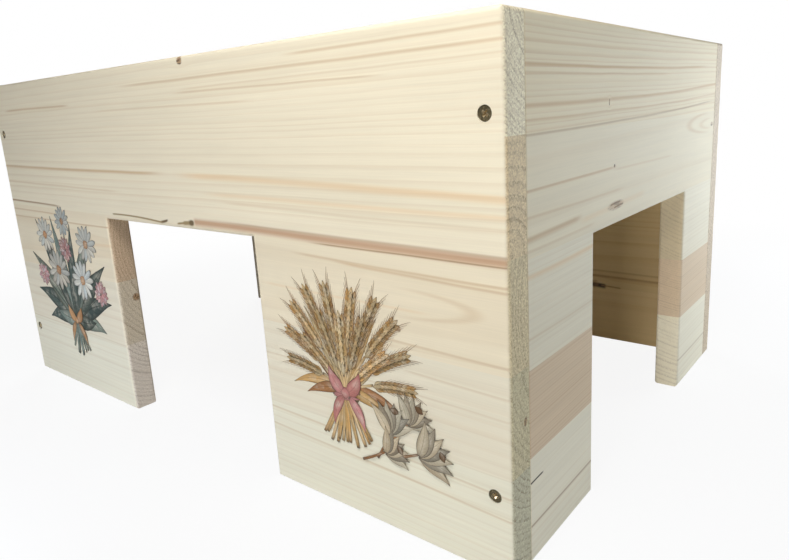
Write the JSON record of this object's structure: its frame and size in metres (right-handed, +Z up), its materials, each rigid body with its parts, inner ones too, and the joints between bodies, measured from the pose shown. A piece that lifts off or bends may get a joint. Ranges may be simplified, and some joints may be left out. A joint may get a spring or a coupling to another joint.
{
  "type": "rabbit house",
  "caption": "Flat-roofed rabbit house of glued spruce boards, with square doorways in the front and both ends and a loose roof board that lifts out for cleaning.",
  "frame": {"origin": "middle of the footprint, on the surface that the house stands on", "axes": "+X to the right along the front, -Y out of the front doorway, +Z up"},
  "size_m": [0.59, 0.4, 0.3],
  "materials": {
    "spruce_board": "planed and sanded, unvarnished",
    "batten_wood": "planed strip, unvarnished",
    "bronzed_screw": "dark bronzed steel, slightly worn",
    "printed_tissue": "matte printed tissue, glued flat to the front board"
  },
  "bodies": {
    "house": {"front_panel": "spruce_board", "back_panel": "spruce_board", "left_end_panel": "spruce_board", "right_end_panel": "spruce_board", "front_roof_batten": "batten_wood", "back_roof_batten": "batten_wood", "front_panel_screws": "bronzed_screw", "back_panel_screws": "bronzed_screw", "front_batten_screws": "bronzed_screw", "back_batten_screws": "bronzed_screw"},
    "roof": {"roof_board": "spruce_board"}
  },
  "joints": [
    {"name": "roof_lift", "type": "slide", "parent": "house", "child": "roof", "axis": [0, 0, 1], "range_m": [0, 0.12]}
  ]
}
